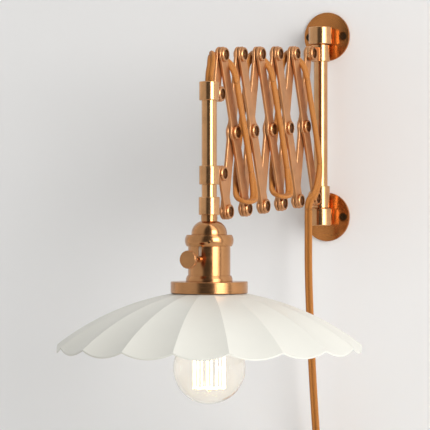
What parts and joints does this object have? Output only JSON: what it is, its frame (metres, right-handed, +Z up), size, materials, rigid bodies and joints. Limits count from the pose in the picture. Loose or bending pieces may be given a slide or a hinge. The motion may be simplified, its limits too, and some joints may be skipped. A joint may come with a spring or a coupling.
{
  "type": "accordion wall lamp",
  "caption": "Wall lamp on a swivelling scissor arm with a fluted enamel shade, a clear globe bulb and a textile cord.",
  "frame": {"origin": "on the wall, midway between the two flanges, at the centre of the four wall screws", "axes": "+Y into the wall along the wall screws, +Z up, the arm reaches along -Y"},
  "size_m": [0.3, 0.4639, 0.636],
  "materials": {
    "polished_copper": "polished copper plate",
    "satin_copper_tube": "satin copper plate",
    "satin_copper_bar": "satin copper plate",
    "copper_rivet": "satin copper plate",
    "screw_copper": "satin copper plate",
    "socket_copper": "satin copper plate",
    "porcelain": "glazed",
    "contact_brass": "satin",
    "white_enamel": "gloss enamel",
    "clear_glass": "clear",
    "glowing_filament": "glowing wire",
    "cord_textile": "braided",
    "plug_plastic": "moulded"
  },
  "bodies": {
    "wall_mount": {"upper_flange": "polished_copper", "lower_flange": "polished_copper", "upper_bearing": "satin_copper_tube", "lower_bearing": "satin_copper_tube", "wall_screws": "screw_copper"},
    "arm_post": {"swivel_rod": "satin_copper_tube", "upper_wall_collar": "satin_copper_tube", "upper_wall_pivot": "copper_rivet", "post_set_screw": "screw_copper"},
    "wall_slider": {"lower_wall_collar": "satin_copper_tube", "cord_drop": "cord_textile", "cord_coil": "cord_textile", "plug_body": "plug_plastic", "plug_pins": "contact_brass"},
    "front_bar_1": {"front_bar_1": "satin_copper_bar", "front_bar_1_pivots": "copper_rivet", "cord_front_1": "cord_textile"},
    "back_bar_1": {"back_bar_1": "satin_copper_bar"},
    "front_bar_2": {"front_bar_2": "satin_copper_bar", "front_bar_2_pivots": "copper_rivet"},
    "back_bar_2": {"back_bar_2": "satin_copper_bar", "cord_back_2": "cord_textile"},
    "front_bar_3": {"front_bar_3": "satin_copper_bar", "front_bar_3_pivots": "copper_rivet", "cord_front_3": "cord_textile"},
    "back_bar_3": {"back_bar_3": "satin_copper_bar"},
    "front_bar_4": {"front_bar_4": "satin_copper_bar", "front_bar_4_pivots": "copper_rivet"},
    "back_bar_4": {"back_bar_4": "satin_copper_bar", "cord_back_4": "cord_textile"},
    "front_bar_5": {"front_bar_5": "satin_copper_bar", "front_bar_5_pivots": "copper_rivet", "cord_front_5": "cord_textile"},
    "back_bar_5": {"back_bar_5": "satin_copper_bar"},
    "upper_end_link": {"upper_end_link": "satin_copper_bar"},
    "lower_end_link": {"lower_end_link": "satin_copper_bar", "lower_link_pivots": "copper_rivet"},
    "lamp": {"lamp_tube": "satin_copper_tube", "upper_lamp_collar": "satin_copper_tube", "upper_lamp_pivot": "copper_rivet", "coupling_collar": "satin_copper_tube", "lamp_set_screws": "screw_copper", "socket_dome": "socket_copper", "socket_ring": "socket_copper", "socket_body": "socket_copper", "socket_base_ring": "socket_copper", "socket_insert": "porcelain", "socket_contact": "contact_brass", "switch_bushing": "socket_copper", "shade_gallery": "socket_copper", "shade": "white_enamel", "shade_ring": "porcelain", "bulb_glass": "clear_glass", "bulb_base": "contact_brass", "bulb_stem": "clear_glass", "bulb_filament": "glowing_filament", "cord_lead": "cord_textile"},
    "lamp_slider": {"lower_lamp_collar": "satin_copper_tube"},
    "switch": {"switch_stem": "socket_copper", "switch_knob": "socket_copper"}
  },
  "joints": [
    {"name": "arm_swivel", "type": "hinge", "parent": "wall_mount", "child": "arm_post", "pos_m": [0, -0.0185, 0], "axis": [0, 0, 1], "range_deg": [-55, 55]},
    {"name": "arm_fold", "type": "hinge", "parent": "arm_post", "child": "back_bar_5", "pos_m": [0, -0.04772, 0.0775], "axis": [-1, 0, 0], "range_deg": [0, 32], "deforming": ["cord_lead", "cord_front_1", "cord_back_2", "cord_front_3", "cord_back_4", "cord_front_5"]},
    {"name": "front_5_turn", "type": "hinge", "parent": "back_bar_5", "child": "front_bar_5", "pos_m": [0, -0.06387, -0.00187], "axis": [-1, 0, 0], "range_deg": [-67.08, 0]},
    {"name": "wall_slider_turn", "type": "hinge", "parent": "front_bar_5", "child": "wall_slider", "pos_m": [0, -0.0371, -0.07832], "axis": [-1, 0, 0], "range_deg": [0, 35.08]},
    {"name": "back_4_turn", "type": "hinge", "parent": "front_bar_5", "child": "back_bar_4", "pos_m": [0, -0.09064, 0.07457], "axis": [-1, 0, 0], "range_deg": [0, 67.08]},
    {"name": "front_4_turn", "type": "hinge", "parent": "back_bar_4", "child": "front_bar_4", "pos_m": [0, -0.10679, -0.0048], "axis": [-1, 0, 0], "range_deg": [-67.08, 0]},
    {"name": "front_3_turn", "type": "hinge", "parent": "back_bar_4", "child": "front_bar_3", "pos_m": [0, -0.12294, -0.08417], "axis": [-1, 0, 0], "range_deg": [-67.08, 0]},
    {"name": "back_3_turn", "type": "hinge", "parent": "front_bar_3", "child": "back_bar_3", "pos_m": [0, -0.14971, -0.00773], "axis": [-1, 0, 0], "range_deg": [0, 67.08]},
    {"name": "back_2_turn", "type": "hinge", "parent": "front_bar_3", "child": "back_bar_2", "pos_m": [0, -0.17648, 0.06872], "axis": [-1, 0, 0], "range_deg": [0, 67.08]},
    {"name": "front_2_turn", "type": "hinge", "parent": "back_bar_2", "child": "front_bar_2", "pos_m": [0, -0.19263, -0.01065], "axis": [-1, 0, 0], "range_deg": [-67.08, 0]},
    {"name": "front_1_turn", "type": "hinge", "parent": "back_bar_2", "child": "front_bar_1", "pos_m": [0, -0.20878, -0.09002], "axis": [-1, 0, 0], "range_deg": [-67.08, 0]},
    {"name": "back_1_turn", "type": "hinge", "parent": "front_bar_1", "child": "back_bar_1", "pos_m": [0, -0.23555, -0.01358], "axis": [-1, 0, 0], "range_deg": [0, 67.08]},
    {"name": "upper_link_turn", "type": "hinge", "parent": "front_bar_1", "child": "upper_end_link", "pos_m": [0, -0.26232, 0.06287], "axis": [-1, 0, 0], "range_deg": [0, 67.08]},
    {"name": "lamp_level", "type": "hinge", "parent": "upper_end_link", "child": "lamp", "pos_m": [0, -0.2703, 0.02367], "axis": [-1, 0, 0], "range_deg": [-32.01, 0]},
    {"name": "lower_link_turn", "type": "hinge", "parent": "back_bar_1", "child": "lower_end_link", "pos_m": [0, -0.2517, -0.09295], "axis": [-1, 0, 0], "range_deg": [-67.08, 0]},
    {"name": "lamp_slider_turn", "type": "hinge", "parent": "lower_end_link", "child": "lamp_slider", "pos_m": [0, -0.26492, -0.0552], "axis": [-1, 0, 0], "range_deg": [0, 35.08]},
    {"name": "switch_turn", "type": "hinge", "parent": "lamp", "child": "switch", "pos_m": [0, -0.3359, -0.13955], "axis": [0, -1, 0], "continuous": true}
  ],
  "couplings": [
    {"joint": "front_5_turn", "follows": "arm_fold", "ratio": -2.0958},
    {"joint": "wall_slider_turn", "follows": "arm_fold", "ratio": 1.0958},
    {"joint": "back_4_turn", "follows": "arm_fold", "ratio": 2.0958},
    {"joint": "front_4_turn", "follows": "arm_fold", "ratio": -2.0958},
    {"joint": "front_3_turn", "follows": "arm_fold", "ratio": -2.0958},
    {"joint": "back_3_turn", "follows": "arm_fold", "ratio": 2.0958},
    {"joint": "back_2_turn", "follows": "arm_fold", "ratio": 2.0958},
    {"joint": "front_2_turn", "follows": "arm_fold", "ratio": -2.0958},
    {"joint": "front_1_turn", "follows": "arm_fold", "ratio": -2.0958},
    {"joint": "back_1_turn", "follows": "arm_fold", "ratio": 2.0958},
    {"joint": "upper_link_turn", "follows": "arm_fold", "ratio": 2.0958},
    {"joint": "lamp_level", "follows": "arm_fold", "ratio": -1},
    {"joint": "lower_link_turn", "follows": "arm_fold", "ratio": -2.0958},
    {"joint": "lamp_slider_turn", "follows": "arm_fold", "ratio": 1.0958}
  ]
}
